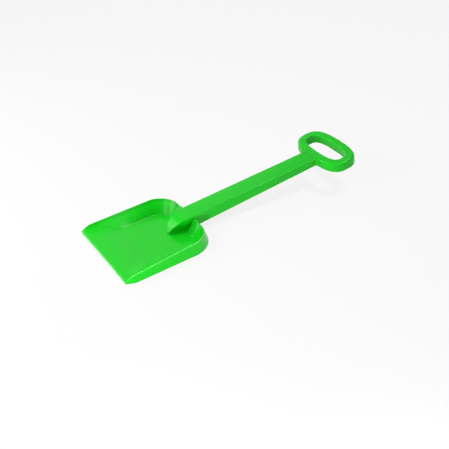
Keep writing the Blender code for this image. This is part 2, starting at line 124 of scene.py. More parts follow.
def putPiece(name, shells, material):
    # shells: (points, quads, edge share, crease share). Doubles are merged, so seams and poles close.
    points, quads, edge, crease, start = [], [], [], [], 0
    for spots, faces, edgeShare, creaseShare in shells:
        points.append(spots.reshape(-1, 3))
        quads.append(faces + start)
        edge.append(np.broadcast_to(edgeShare, spots.shape[:-1]).reshape(-1))
        crease.append(np.broadcast_to(creaseShare, spots.shape[:-1]).reshape(-1))
        start += points[-1].shape[0]
    points = np.concatenate(points) + np.array([0, frontLine, 0])
    quads = np.concatenate(quads).astype(np.int32)
    mesh = bpy.data.meshes.new(name)
    mesh.vertices.add(len(points))
    mesh.vertices.foreach_set("co", points.astype(np.float32).ravel())
    mesh.loops.add(quads.size)
    mesh.loops.foreach_set("vertex_index", quads.ravel())
    mesh.polygons.add(len(quads))
    mesh.polygons.foreach_set("loop_start", np.arange(0, quads.size, 4, dtype=np.int32))
    mesh.polygons.foreach_set("loop_total", np.full(len(quads), 4, dtype=np.int32))
    for label, values in (("edgeShare", edge), ("creaseShare", crease)):
        layer = mesh.attributes.new(label, "FLOAT", "POINT")
        layer.data.foreach_set("value", np.concatenate(values).astype(np.float32))
    mesh.update(calc_edges=True)
    mesh.validate()
    bm = bmesh.new()
    bm.from_mesh(mesh)
    bmesh.ops.remove_doubles(bm, verts=bm.verts, dist=2e-6)
    bmesh.ops.dissolve_degenerate(bm, edges=bm.edges, dist=1e-7)
    bmesh.ops.recalc_face_normals(bm, faces=bm.faces)
    openEdges = sum(1 for line in bm.edges if len(line.link_faces) != 2)
    bm.to_mesh(mesh)
    bm.free()
    mesh.shade_smooth()
    mesh.set_sharp_from_angle(angle=math.radians(common["sharpAngle"]))
    piece = bpy.data.objects.new(name, mesh)
    scene.collection.objects.link(piece)
    mesh.materials.append(material)
    print(name, len(mesh.vertices), "points", len(mesh.polygons), "faces, open edges", openEdges)
    return piece


# The blade's wall follows three lines around the scoop: crease, rim and skirt.
blade = {
    "wall": 0.0036,
    "floorTop": 0.0036,
    "bendY": 0.0568, "bendSoft": 0.035,                     # soft bend between floor and lip
    "lipTop": 0.0050, "lipUnder": 0.0029, "lipUnderY": 0.020, "lipUnderPower": 1.25,
    "lipCrown": 0.0016, "lipRound": 0.0011, "lipAhead": 0.0010, "lipHollow": 0.0008,
    "cornerY": 0.127,                                       # centre line of the plan corners
    "frontHalf": 0.0803, "frontCorner": 0.0022,
    "creaseBend": 0.0510, "creaseHalf": 0.0573, "creaseBack": 0.1490, "fan": 0.58, "creaseCorner": 1.6,
    "rimHalf": 0.0749, "rimBack": 0.164, "rimThick": 0.0030,
    "skirtHalf": 0.0770, "skirtBack": 0.1775, "skirtFlare": 0.0043,
    "kinkY": 0.0158, "kinkHeight": 0.0145, "kinkPower": 1.4, "rimRise": 0.095, "rimEase": 0.045,
    "bankBow": 1.04, "bankBowFront": 0.5, "bankSteps": (0.22, 0.45, 0.70), "bankRound": 0.003,
    "creaseRound": 0.0013, "creaseFront": 0.010,            # the crease fades out in front of the bend
    "sweep": 0.027, "sweepSlope": 0.42, "sweepBank": 0.003,     # width, steepest slope, narrowest bank
    "sweepFront": (-0.002, 0.020), "sweepBack": (0.042, 0.061),
    "rimRound": 0.0026, "rimInner": 0.0004, "footRound": 0.0004,
    "lipWear": 0.6, "lipWearY": 0.006,                      # wear of the front edge, and how far back it goes
    "hollowFront": (0.0195, 0.0235), "hollowTop": 0.93,
    "saddleBank": 0.003, "saddleSkirt": 0.008,              # behind crease and rim, for the saddle's heights
    "saddleWalls": (1.2, 1.6), "saddleLean": (0.0045, 0.0050),  # hollow below it: skirt side and bank side
    "gussets": (0.17, 0.44, 0.70, 0.96, 1.34, 1.66, 2.0),   # places along the wall, as in wallLine
    "gussetIn": 0.0006,                                     # how far they reach into its sides
    "backSpan": 0.024,                                      # straight stretch around the shaft
}
shaft = {
    "wall": 0.0013,
    "ref": 0.180, "top": 0.0326, "rise": 0.1015,            # top line: top + rise * (y - ref)
    "half": 0.0167,
    "depth": 0.0205, "depthLoss": 0.0266,                   # depth at ref, and what it loses for each metre
    "draft": 0.04,                                          # each side leans out by this towards the lower edge
    "round": 0.0016, "crown": 0.0004, "crownRound": 0.006, "lowerRound": 0.0003,
    "end": 0.424,
    "fallStart": 0.155, "fallPower": 2.85, "narrowStart": 0.165, "noseTip": 0.1197,
    "noseFoot": 0.0012, "footFade": (0.150, 0.158),         # small fillet where the nose meets the floor
    "noseDarkFade": (0.150, 0.160),
    "channel": (0.180, 0.404), "bays": 6, "ribIn": 0.0005,
}
grip = {
    "wall": 0.0013,
    "tilt": 0.066,                                          # the loop's plane above the shaft's, radians
    "centre": 0.0404, "half": (0.0614, 0.03425), "outerPower": 2.84,
    "hole": (0.0461, 0.0195), "holePower": 3.0, "holeShift": -0.0003,
    "depth": 0.0173, "drop": 0.00036, "round": 0.0052, "holeRound": 0.0016, "ribs": 8,
    "crownRound": 0.0010, "innerFoot": 0.0004, "outerFoot": 0.0010, "coreLean": 0.0006,
    "neckFlare": 0.0065, "neckPast": 0.001, "neckReach": 0.0135, "neckFall": 0.0028,
}

# The front corners stand ahead of the line y = 0; the frame's box gives their place
frontReach = blade["lipAhead"] - blade["lipHollow"] * (1 - (1 - blade["frontCorner"] / blade["frontHalf"]) ** 2)
frontLine = cadBox[0][1] + frontReach


def frontShare(y):
    # 1 at the front edge, falling evenly to 0 at the bend, the corner there softened
    return softPositive(1 - y / blade["bendY"], blade["bendSoft"])


def floorHeight(y):
    # Flat floor + ramp to the lip + a crown of 4 s (1 - s) on the ramp
    s = frontShare(y)
    lift = blade["lipTop"] - blade["floorTop"]
    return blade["floorTop"] + lift * s + 4 * blade["lipCrown"] * s * (1 - s)


def underside(y):
    # Ground, curving up to the lip's lower edge with a power of the distance
    return blade["lipUnder"] * np.clip(1 - y / blade["lipUnderY"], 0, 1) ** blade["lipUnderPower"]


def rimHalf(y):
    # Straight taper from the front to the corner, less the round of the front corner
    r = blade["frontCorner"]
    taper = blade["frontHalf"] + (blade["rimHalf"] - blade["frontHalf"]) * y / blade["cornerY"]
    inside = np.clip(r - y, 0, r)
    return taper - (r - np.sqrt(r * r - inside * inside))


def creaseHalf(y):
    # Widens slowly behind the bend, and fans out to the rim with s^fan in front of it
    back = np.clip((y - blade["bendY"]) / (blade["cornerY"] - blade["bendY"]), 0, 1)
    fade = 1 - smoothStep(0.9 * blade["bendY"], 1.25 * blade["bendY"], y)
    s = np.clip(frontShare(y), 0, 1) ** blade["fan"] * fade
    half = blade["creaseBend"] + (blade["creaseHalf"] - blade["creaseBend"]) * back
    return half + (rimHalf(y) - half) * s


def skirtHalf(y):
    # Rim + a flare that shrinks towards the back and starts from nothing at the front edge
    end = blade["skirtHalf"] - blade["rimHalf"]
    flare = blade["skirtFlare"] + (end - blade["skirtFlare"]) * y / blade["cornerY"]
    return rimHalf(y) + flare * np.clip(y / blade["kinkY"], 0, 1)


def rimHeight(y):
    # Straight rise, easing off round the back; in front of the kink it drops to the lip with a power
    start = blade["kinkHeight"] - blade["rimRise"] * blade["kinkY"]
    fall = np.clip(1 - y / blade["kinkY"], 0, 1) ** blade["kinkPower"]
    ease = blade["rimEase"] * np.clip(y - blade["cornerY"], 0, None)
    return start + blade["rimRise"] * y - (start - blade["lipTop"]) * fall - ease


def wallLine(t, halfAt, halfCorner, back, power=2.0):
    # Plan outline: t 0 to 1 along the side, 1 to 2 round a quarter of a superellipse, 2 to 3 along the back
    radius = back - blade["cornerY"]
    centre = halfCorner - radius
    angle = np.clip(t - 1, 0, 1) * math.pi / 2
    side = np.clip(t, 0, 1) * blade["cornerY"]
    firstHalf = np.clip((t - 2) * 2, 0, 1)
    secondHalf = np.clip((t - 2.5) * 2, 0, 1)
    straight = (centre + (blade["backSpan"] - centre) * firstHalf) * (1 - secondHalf)
    bendX = centre + radius * np.abs(np.cos(angle)) ** (2 / power)
    bendY = blade["cornerY"] + radius * np.sin(angle) ** (2 / power)
    x = np.where(t <= 1, halfAt(side), np.where(t <= 2, bendX, straight))
    y = np.where(t <= 1, side, np.where(t <= 2, bendY, back))
    return np.stack([x, y], -1)


def wallFrame(t):
    # Crease, rim and skirt at t, with the plan direction across the wall and the distances along it
    crease = wallLine(t, creaseHalf, blade["creaseHalf"], blade["creaseBack"], blade["creaseCorner"])
    rim = wallLine(t, rimHalf, blade["rimHalf"], blade["rimBack"])
    skirt = wallLine(t, skirtHalf, blade["skirtHalf"], blade["skirtBack"])
    wide = np.linalg.norm(skirt - crease, axis=1)
    across = np.where(wide[:, None] > 1e-7, (skirt - crease) / np.maximum(wide, 1e-7)[:, None], [[1.0, 0.0]])
    reach = np.sum((rim - crease) * across, axis=1)
    return crease, rim, skirt, across, reach, wide


def hollowSection(t):
    # The hollow below the rim: bank and skirt moved in by the wall, meeting near the crest.
    # Returns distances across the wall at the two feet and the two upper corners, and the crest's height.
    crease, rim, skirt, across, reach, wide = wallFrame(t)
    base, top = floorHeight(crease[:, 1]), rimHeight(rim[:, 1])
    bankRun = reach / np.maximum(top - base, 0.0008)
    skirtRun = (reach - wide) / np.maximum(top, 0.0008)
    bow = blade["bankBow"] + blade["bankBowFront"] * np.clip(frontShare(crease[:, 1]), 0, 1)
    dip = bow ** (1 / (1 - bow)) - bow ** (bow / (1 - bow))
    thick = blade["wall"] + dip * reach / np.hypot(1, bankRun)
    bankFoot = thick * np.hypot(1, bankRun) - bankRun * base
    skirtFoot = wide - blade["wall"] * np.hypot(1, skirtRun)
    crest = blade["hollowTop"] * (skirtFoot - bankFoot) / np.maximum(bankRun - skirtRun, 0.05)
    low, high = 0.15 * wide, 0.92 * wide
    feet = [np.clip(p, low, high) for p in (skirtFoot, skirtFoot + skirtRun * crest,
                                            bankFoot + bankRun * crest, bankFoot)]
    return feet, np.maximum(crest, 0)


def saddleHeight(y):
    # The shaft's lower side, less the clearance
    return shaftUnder(y) - common["gap"]


def bladeShell():
    # A closed section (floor, bank, rim, skirt, hollow, underside) carried along the wall from the front corner
    # to the middle of the back, then mirrored
    b = blade
    notch = shaft["half"] + shaft["draft"] * shaft["depth"] + common["gap"]
    # Rows crowd at the front edge; doubled rows at the back make the upright ends of the saddle
    frontY = np.concatenate([[0, 0.00008, 0.0003, 0.00065, 0.0013], np.linspace(0.002, b["kinkY"], 16)])
    sideY = np.concatenate([frontY, np.linspace(b["kinkY"], b["cornerY"], 54)[1:]])
    backX = np.array([0.0215, notch + common["rib"], notch + common["rib"], notch, notch, 0.012, 0.006, 0])
    t = np.concatenate([sideY / b["cornerY"], np.linspace(1, 2, 37)[1:], np.linspace(2, 2.5, 13)[1:],
                        3 - backX / b["backSpan"] / 2])
    rows = len(t)
    outerCut = np.arange(rows) >= rows - 4      # the wall is cut down to the saddle here
    innerCut = np.arange(rows) >= rows - 6      # and its hollow is lower from one rib further out
    crease, rim, skirt, across, reach, wide = wallFrame(t)
    base, top = floorHeight(crease[:, 1]), rimHeight(rim[:, 1])
    edge = 0.5 * b["rimThick"] * np.clip(rim[:, 1] / b["kinkY"], 0, 1)
    bow = b["bankBow"] + b["bankBowFront"] * np.clip(frontShare(crease[:, 1]), 0, 1)
    under = underside(skirt[:, 1])
    (skirtFoot, skirtCrest, bankCrest, bankFoot), crest = hollowSection(t)
    depth = smoothStep(b["hollowFront"][0], b["hollowFront"][1], rim[:, 1])

    def spot(p, z):
        return np.concatenate([crease + across * np.asarray(p)[:, None], np.asarray(z)[:, None]], axis=1)

    middle = np.stack([0 * t, np.minimum(crease[:, 1], b["cornerY"])], -1)
    steps = np.array(b["bankSteps"])[:, None]
    bankAcross = steps * (reach - edge)
    bankHeight = base + (top - base) * steps ** bow
    # Saddle: where the bank and the skirt meet the shaft's lower side
    bankCut = saddleHeight(crease[:, 1] + b["saddleBank"]) - base
    skirtCut = saddleHeight(b["rimBack"] + b["saddleSkirt"])
    bankStop = (reach - edge) * np.clip(bankCut / (top - base + 1e-9), 0, 1)
    skirtStop = wide - (wide - reach - edge) * skirtCut / np.maximum(top, 1e-6)
    innerRim = np.where(outerCut, bankStop, reach - edge)
    outerRim = np.where(outerCut, skirtStop, reach + edge)
    innerTop = np.where(outerCut, saddleHeight(crease[:, 1] + innerRim), top)
    outerTop = np.where(outerCut, saddleHeight(crease[:, 1] + outerRim), top)
    bankAcross = np.where(outerCut, steps * bankStop, bankAcross)
    bankHeight = np.where(outerCut, base + steps * (innerTop - base), bankHeight)
    roof = saddleHeight(b["creaseBack"]) - b["wall"]
    skirtWall, bankWall = (share * b["wall"] for share in b["saddleWalls"])
    skirtLean, bankLean = b["saddleLean"]
    skirtFoot = np.where(innerCut, wide - skirtWall, skirtFoot)
    skirtCrest = np.where(innerCut, wide - skirtWall - skirtLean, skirtCrest)
    bankCrest = np.where(innerCut, bankWall + bankLean, bankCrest)
    bankFoot = np.where(innerCut, bankWall, bankFoot)
    crest = np.where(innerCut, roof, under + (crest - under) * depth)
    corners = np.stack([
        np.concatenate([middle, floorHeight(middle[:, 1])[:, None]], axis=1),
        spot(0 * t, base), *map(spot, bankAcross, bankHeight), spot(innerRim, innerTop), spot(outerRim, outerTop),
        spot(wide, under), spot(skirtFoot, under), spot(skirtCrest, crest), spot(bankCrest, crest),
        spot(bankFoot, under), np.concatenate([middle, underside(middle[:, 1])[:, None]], axis=1)], axis=1)
    creaseCut = b["creaseRound"] + b["creaseFront"] * np.clip(frontShare(crease[:, 1]), 0, 1)
    bank, foot, hollow = b["bankRound"], b["footRound"], common["hollowRound"]
    others = (bank, bank, bank, b["rimInner"], b["rimRound"], foot, foot, hollow, hollow, hollow, 0)
    cuts = np.stack([0 * t, creaseCut] + [0 * t + cut for cut in others], axis=1)
    runs = (30, 3, 2, 2, 3, 2, 8, 1, 5, 2, 5, 26)
    bends = (0, 10, 5, 5, 5, 8, 8, 3, 3, 4, 4, 4, 0)
    grid, owner, near = roundedLine(corners, cuts, runs, bends)
    # In front of the bend floor and bank run into each other: at a distance d from the crease line, up to w, the
    # corner is filled by slope * (w - d)^2 / 4w, less and less towards the rim. The slope is the bank's, limited.
    x, y, z = grid[..., 0], grid[..., 1], grid[..., 2]
    low, high, line = floorHeight(y), rimHeight(y), creaseHalf(y)
    slope = np.minimum((high - low) / np.maximum(rimHalf(y) - line, b["sweepBank"]), b["sweepSlope"])
    w = 1e-6 + b["sweep"] * smoothStep(*b["sweepFront"], y) * (1 - smoothStep(*b["sweepBack"], y))
    lift = slope * np.maximum(w - np.abs(x - line), 0) ** 2 / (4 * w)
    grid[..., 2] += lift * (1 - np.clip((z - low) / (high - low), 0, 1)) * (owner <= 5)
    # Front edge: heights close on the middle of the lip along a quarter circle
    share = np.clip(y / b["lipRound"], 0, 1)
    centre = 0.5 * (b["lipTop"] + b["lipUnder"])
    grid[..., 2] = centre + (grid[..., 2] - centre) * np.where(y < b["lipRound"], np.sqrt(share * (2 - share)), 1)
    # Seen from above, the front edge is drawn in a little towards its middle
    inward = b["lipHollow"] * np.clip(1 - (grid[..., 0] / b["frontHalf"]) ** 2, 0, 1)
    grid[..., 1] += (inward - b["lipAhead"]) * np.clip(1 - grid[..., 1] / b["bendY"], 0, 1)
    other = grid[-2::-1] * np.array([-1, 1, 1])
    grid = np.concatenate([grid, other])
    lipEdge = b["lipWear"] * (1 - smoothStep(0.0, b["lipWearY"], grid[..., 1])) * (owner <= 6)
    # Pale edge: a painted highlight along the rim's outer rounding, and wear along the front edge
    edgeShare = np.maximum((owner == 6) * near, lipEdge)
    creaseShare = np.broadcast_to(1.0 * (owner == 5), grid.shape[:2])       # painted shade: a dark line just inside the rim
    return grid, gridFaces(*grid.shape[:2]), edgeShare, creaseShare


def bladeGussets():
    # Thin plates across the hollow, let a little into its walls
    t = np.array(blade["gussets"])
    crease, rim, skirt, across, reach, wide = wallFrame(t)
    (skirtFoot, skirtCrest, bankCrest, bankFoot), crest = hollowSection(t)
    more = blade["gussetIn"]
    ends = ((bankFoot - more, 0 * t), (bankCrest - more, crest + more), (skirtCrest + more, crest + more),
            (skirtFoot + more, 0 * t))
    sections = np.stack([np.concatenate([crease + across * p[:, None], z[:, None]], axis=1) for p, z in ends],
                        axis=1)
    ways = np.stack([-across[:, 1], across[:, 0], 0 * t], -1)
    flip = np.array([-1, 1, 1])
    return plates(np.concatenate([sections, sections * flip]), np.concatenate([ways, ways * flip]), common["rib"])


def topLine(y):
    # Straight line through the top at ref, with the shaft's rise
    return shaft["top"] + shaft["rise"] * (y - shaft["ref"])


def noseShare(y, start):
    # 0 at start, 1 at the nose's tip
    return np.clip((start - y) / (start - shaft["noseTip"]), 0, 1)


def shaftTop(y):
    # Straight line; in the nose its height above the floor shrinks with 1 - s^power
    floor = blade["floorTop"] + common["gap"]
    return floor + (topLine(y) - floor) * (1 - noseShare(y, shaft["fallStart"]) ** shaft["fallPower"])


def shaftHalf(y):
    # Even width; in the nose an ellipse, half * sqrt(1 - s^2)
    return shaft["half"] * np.sqrt(1 - noseShare(y, shaft["narrowStart"]) ** 2)


def shaftUnder(y):
    # Top line less the depth, which shrinks evenly towards the grip
    return topLine(y) - shaft["depth"] + shaft["depthLoss"] * (y - shaft["ref"])


def shaftBottom(y):
    # On the floor, up the bank of the back wall, then along the shaft's lower edge
    slope = (rimHeight(blade["rimBack"]) - blade["floorTop"]) / (blade["rimBack"] - blade["creaseBack"])
    bank = blade["floorTop"] + slope * (y - blade["creaseBack"]) + common["gap"] * math.hypot(1, slope)
    return np.minimum(shaftUnder(y), np.maximum(blade["floorTop"] + common["gap"], bank))


def sectionCorners(half, low, top, bottom, crown, foot, wall, roof):
    # Closed section from the middle of the inner roof round the outside and back; all arguments are arrays
    right = [(half - wall, roof), (low - wall, bottom), (low + foot, bottom), (low, bottom + 1.2 * foot),
             (half, top)]
    spots = [(0 * half, roof)] + right + [(0 * half, top + crown)]
    spots += [(-x, z) for x, z in reversed(right)] + [(0 * half, roof)]
    return np.stack([np.stack([x, z], -1) for x, z in spots], axis=1)


sectionRuns = (3, 5, 1, 1, 6, 6, 6, 6, 1, 1, 5, 3)
sectionBends = (0, 4, 2, 2, 3, 9, 4, 9, 3, 2, 2, 4, 0)


def shaftShell():
    # The closed section carried from the nose's tip to the grip; its inner roof rises where the channel is open
    f = shaft
    s = np.sin(np.linspace(1, 0, 52) * math.pi / 2)
    noseY = f["narrowStart"] - s * (f["narrowStart"] - f["noseTip"])
    first, last = f["channel"]
    y = np.concatenate([noseY, np.linspace(f["narrowStart"], first, 9)[1:], np.linspace(first, last, 60),
                        np.linspace(last, f["end"], 8), [f["end"]]])
    rows = len(y)
    isOpen = np.zeros(rows)
    begin = len(noseY) + 8
    isOpen[begin:begin + 60] = 1
    half, top, bottom = shaftHalf(y), shaftTop(y), shaftBottom(y)
    low = half + f["draft"] * (top - bottom)
    foot = f["noseFoot"] * smoothStep(0, 0.12, 1 - noseShare(y, f["narrowStart"]))
    foot = foot * (1 - smoothStep(*f["footFade"], y))
    roof = bottom + (top - f["wall"] - bottom) * isOpen
    flat = sectionCorners(half, low, top, bottom, f["crown"] * half / f["half"], foot,
                          np.minimum(f["wall"], 0.4 * low), roof)
    # Sections stand upright at the nose and square to the shaft further up
    lean = f["rise"] * np.clip((y - f["narrowStart"]) / (f["ref"] - f["narrowStart"]), 0, 1)
    x, z = flat[..., 0], flat[..., 1]
    corners = np.stack([x, y[:, None] + lean[:, None] * (top[:, None] - z), z], -1)
    corners[-1] = corners[-1].mean(axis=0)
    r = np.minimum(f["round"], np.minimum(0.7 * half, 0.7 * (top - bottom)))
    o = 0 * y
    hollow, lower = o + common["hollowRound"], o + f["lowerRound"]
    cuts = np.stack([o, hollow, lower, lower, foot, r, o + f["crownRound"], r, foot, lower, lower, hollow, o],
                    axis=1)
    grid, owner, near = roundedLine(corners, cuts, sectionRuns, sectionBends)
    edgeShare = np.broadcast_to(np.isin(owner, (5, 7)) * near, grid.shape[:2])
    # darker along the lower edges at the nose, where it stands in the blade
    creaseShare = np.isin(owner, (2, 3, 4, 8, 9, 10))[None] * (1 - smoothStep(*f["noseDarkFade"], grid[..., 1]))
    return grid, gridFaces(*grid.shape[:2]), edgeShare, creaseShare


def shaftRibs():
    # Cross ribs in the channel, square to the shaft
    f = shaft
    y = np.linspace(f["channel"][0], f["channel"][1], f["bays"] + 1)[1:-1]
    half, top, bottom = shaftHalf(y), shaftTop(y), shaftBottom(y)
    low = half + f["draft"] * (top - bottom)
    more = f["ribIn"] - f["wall"]
    spots = ((-low - more, bottom), (-half - more, top + more), (half + more, top + more), (low + more, bottom))
    sections = np.stack([np.stack([x, y + f["rise"] * (top - z), z], -1) for x, z in spots], axis=1)
    way = np.array([0, 1, f["rise"]]) / math.hypot(1, f["rise"])
    return plates(sections, np.broadcast_to(way, (len(y), 3)), common["rib"])


def fromSeat(spots, tilt=0.0):
    # From the frame of the shaft's end (y along the shaft, z up from its top) to the shovel's frame
    turn = math.atan(shaft["rise"]) + tilt
    y = shaft["end"] + math.cos(turn) * spots[..., 1] - math.sin(turn) * spots[..., 2]
    z = topLine(shaft["end"]) + math.sin(turn) * spots[..., 1] + math.cos(turn) * spots[..., 2]
    return np.stack([spots[..., 0], y, z], -1)


def superEllipse(half, power, angle):
    # x = a sign(c)|c|^(2/n), y = b sign(s)|s|^(2/n)
    c, s = np.cos(angle), np.sin(angle)
    return np.stack([half[0] * np.sign(c) * np.abs(c) ** (2 / power),
                     half[1] * np.sign(s) * np.abs(s) ** (2 / power)], -1)


def ringLines(angle):
    # Outer outline and hole outline at the same angle, and the plan direction between them
    g = grip
    outer = superEllipse(g["half"], g["outerPower"], angle) + [0, g["centre"]]
    inner = superEllipse(g["hole"], g["holePower"], angle) + [0, g["centre"] + g["holeShift"]]
    wide = np.linalg.norm(outer - inner, axis=1)
    return inner, (outer - inner) / wide[:, None], wide


def ringShell():
    # A closed section, open below, carried round between the hole's outline and the outer one
    g = grip
    # Angles bunch up where the superellipse turns fastest, so its points are spread evenly along the outline
    fine = np.linspace(0, 2 * math.pi, 4001)
    line = superEllipse(g["half"], g["outerPower"], fine)
    along = np.concatenate([[0], np.cumsum(np.linalg.norm(np.diff(line, axis=0), axis=1))])
    angle = np.interp(np.linspace(0, along[-1], 181)[:-1], along, fine)
    inner, across, wide = ringLines(angle)
    top, low, w = -g["drop"], -g["drop"] - g["depth"], g["wall"]
    o = 0 * angle
    lean = shaft["draft"] * g["depth"]
    core = g["coreLean"]
    spots = [(0.5 * wide, top - w), (wide - w - core, top - w), (wide + lean - w, low), (wide + lean, low),
             (wide, top), (0.5 * wide, top), (o, top), (o - lean, low), (o + w - lean, low),
             (o + w + core, top - w), (0.5 * wide, top - w)]
    corners = np.stack([np.concatenate([inner + across * p[:, None], o[:, None] + z], axis=1) for p, z in spots],
                       axis=1)
    hollow, innerFoot, outerFoot = common["hollowRound"], g["innerFoot"], g["outerFoot"]
    cuts = np.array([0, hollow, innerFoot, outerFoot, g["round"], g["crownRound"], g["holeRound"], outerFoot,
                     innerFoot, hollow, 0])
    grid, owner, near = roundedLine(corners, cuts[None], (2, 5, 1, 5, 3, 3, 5, 1, 5, 2),
                                    (0, 4, 2, 4, 10, 4, 10, 4, 2, 4, 0))
    edgeShare = np.broadcast_to(np.isin(owner, (4, 6)) * near, grid.shape[:2])
    return fromSeat(grid, g["tilt"]), gridFaces(*grid.shape[:2], closeRows=True), edgeShare, 0.0


def ringRibs():
    # Ribs across the bar at even angles, none where the neck comes in
    g = grip
    angle = -0.5 * math.pi + 2 * math.pi * np.arange(1, g["ribs"]) / g["ribs"]
    inner, across, wide = ringLines(angle)
    top, low = -g["drop"], -g["drop"] - g["depth"]
    more = 0.5 * g["wall"]
    o = 0 * angle
    lean = shaft["draft"] * g["depth"]
    ends = ((o + more - lean, o + low), (o + more, o + top - more), (wide - more, o + top - more),
            (wide - more + lean, o + low))
    sections = np.stack([np.concatenate([inner + across * p[:, None], z[:, None]], axis=1) for p, z in ends],
                        axis=1)
    ways = np.stack([-across[:, 1], across[:, 0], o], -1)
    points, faces = plates(sections, ways, common["rib"])
    return fromSeat(points, g["tilt"]), faces


def neckShell():
    # The shaft's end section, its half-width growing by flare * (1 - sqrt(1 - r^2)) towards the loop
    g, f = grip, shaft
    near = g["centre"] - g["half"][1]
    y = np.linspace(common["gap"], near + g["neckReach"], 30)
    y = np.concatenate([[y[0]], y, [y[-1]]])
    share = (y - y[0]) / (y[-1] - y[0])
    run = np.clip(y / (near + g["neckPast"]), 0, 1)
    half = shaftHalf(np.array(f["end"])) + g["neckFlare"] * (1 - np.sqrt(1 - run * run))
    depth = (topLine(f["end"]) - shaftUnder(f["end"])) / math.hypot(1, f["rise"])
    low = half + f["draft"] * depth * (1 - share)
    bottom = -depth + (depth - g["depth"] + g["wall"]) * share
    top = -g["neckFall"] * share ** 2
    rise = math.tan(g["tilt"]) * y
    flat = sectionCorners(half, low, top, bottom, f["crown"] * (1 - share), 0 * y, 0.3 * low, bottom)
    along = np.broadcast_to(y[:, None], flat.shape[:2])
    corners = np.stack([flat[..., 0], along, flat[..., 1] + rise[:, None]], -1)
    corners[0] = corners[0].mean(axis=0)
    corners[-1] = corners[-1].mean(axis=0)
    hollow, lower = common["hollowRound"], f["lowerRound"]
    cuts = np.array([0, hollow, lower, lower, 0, f["round"], f["crownRound"], f["round"], 0, lower, lower, hollow,
                     0])
    grid, owner, near = roundedLine(corners, cuts[None], sectionRuns, sectionBends)
    edgeShare = np.broadcast_to(np.isin(owner, (5, 7)) * near, grid.shape[:2])
    return fromSeat(grid), gridFaces(*grid.shape[:2]), edgeShare, 0.0


def newGroup(name, inputs, outputs):
    # A shader group with named sockets; returns the tree and its two end nodes
    tree = bpy.data.node_groups.new(name, "ShaderNodeTree")
    for label, kind, value in inputs:
        socket = tree.interface.new_socket(name=label, in_out="INPUT", socket_type=kind)
        if value is not None:
            socket.default_value = value
    for label, kind in outputs:
        tree.interface.new_socket(name=label, in_out="OUTPUT", socket_type=kind)
    return tree, tree.nodes.new("NodeGroupInput"), tree.nodes.new("NodeGroupOutput")


def addNode(tree, kind, values=None, **settings):
    # A node with its settings; a value that is a socket is linked, any other is set on the input
    node = tree.nodes.new(kind)
    for key, value in settings.items():
        setattr(node, key, value)
    for key, value in (values or {}).items():
        if isinstance(value, bpy.types.NodeSocket):
            tree.links.new(value, node.inputs[key])
        else:
            node.inputs[key].default_value = value
    return node


def mathNode(tree, operation, a, b=0.0, clamp=False):
    # The output of one Math node
    return addNode(tree, "ShaderNodeMath", {0: a, 1: b}, operation=operation, use_clamp=clamp).outputs[0]


def makeMouldSkin():
    # Height of a moulded skin: low waves where the melt shrank + fine orange peel + hair scratches along y
    tree, start, end = newGroup("mouldSkin", (
        ("Vector", "NodeSocketVector", None), ("Waves", "NodeSocketFloat", 0.5), ("Peel", "NodeSocketFloat", 0.3),
        ("Scratches", "NodeSocketFloat", 0.2)), (("Height", "NodeSocketFloat"), ("Rub", "NodeSocketFloat")))
    waves = addNode(tree, "ShaderNodeTexNoise", {"Vector": start.outputs["Vector"], "Scale": 38.0, "Detail": 2.0})
    peel = addNode(tree, "ShaderNodeTexNoise", {"Vector": start.outputs["Vector"], "Scale": 900.0, "Detail": 2.0})
    stretch = addNode(tree, "ShaderNodeMapping", {"Vector": start.outputs["Vector"], "Rotation": (0.0, 0.0, 0.16),
                                                  "Scale": (900.0, 26.0, 300.0)})
    hair = addNode(tree, "ShaderNodeTexNoise", {"Vector": stretch.outputs[0], "Scale": 1.0, "Detail": 4.0,
                                                "Roughness": 0.65})
    thin = addNode(tree, "ShaderNodeMapRange", {"Value": hair.outputs["Fac"], "From Min": 0.60, "From Max": 0.70})
    patch = addNode(tree, "ShaderNodeTexNoise", {"Vector": start.outputs["Vector"], "Scale": 24.0, "Detail": 3.0})
    where = addNode(tree, "ShaderNodeMapRange", {"Value": patch.outputs["Fac"],
                                                 "From Min": 0.48, "From Max": 0.66})
    rub = mathNode(tree, "MULTIPLY", thin.outputs[0], where.outputs[0])
    a = mathNode(tree, "MULTIPLY", waves.outputs["Fac"], start.outputs["Waves"])
    b = mathNode(tree, "MULTIPLY", peel.outputs["Fac"], start.outputs["Peel"])
    c = mathNode(tree, "MULTIPLY", rub, start.outputs["Scratches"])
    height = mathNode(tree, "SUBTRACT", mathNode(tree, "ADD", a, b), c)
    tree.links.new(height, end.inputs["Height"])
    tree.links.new(rub, end.inputs["Rub"])
    return tree


def makePigment():
    # Pigment: the base colour, a little deeper in slow clouds and in streaks along the flow
    tree, start, end = newGroup("pigment", (
        ("Vector", "NodeSocketVector", None), ("Base", "NodeSocketColor", (0.0, 0.5, 0.0, 1.0)),
        ("Deep", "NodeSocketColor", (0.0, 0.4, 0.0, 1.0)), ("Clouds", "NodeSocketFloat", 0.3)),
        (("Color", "NodeSocketColor"),))
    cloud = addNode(tree, "ShaderNodeTexNoise", {"Vector": start.outputs["Vector"], "Scale": 17.0, "Detail": 3.0})
    flow = addNode(tree, "ShaderNodeMapping", {"Vector": start.outputs["Vector"], "Scale": (60.0, 9.0, 60.0)})
    streak = addNode(tree, "ShaderNodeTexNoise", {"Vector": flow.outputs[0], "Scale": 1.0, "Detail": 3.0,
                                                  "Distortion": 0.6})
    both = mathNode(tree, "MULTIPLY", cloud.outputs["Fac"], streak.outputs["Fac"])
    share = mathNode(tree, "MULTIPLY", both, start.outputs["Clouds"], clamp=True)
    mix = addNode(tree, "ShaderNodeMix", {"Factor": share, "A": start.outputs["Base"], "B": start.outputs["Deep"]},
                  data_type="RGBA")
    tree.links.new(mix.outputs["Result"], end.inputs["Color"])
    return tree


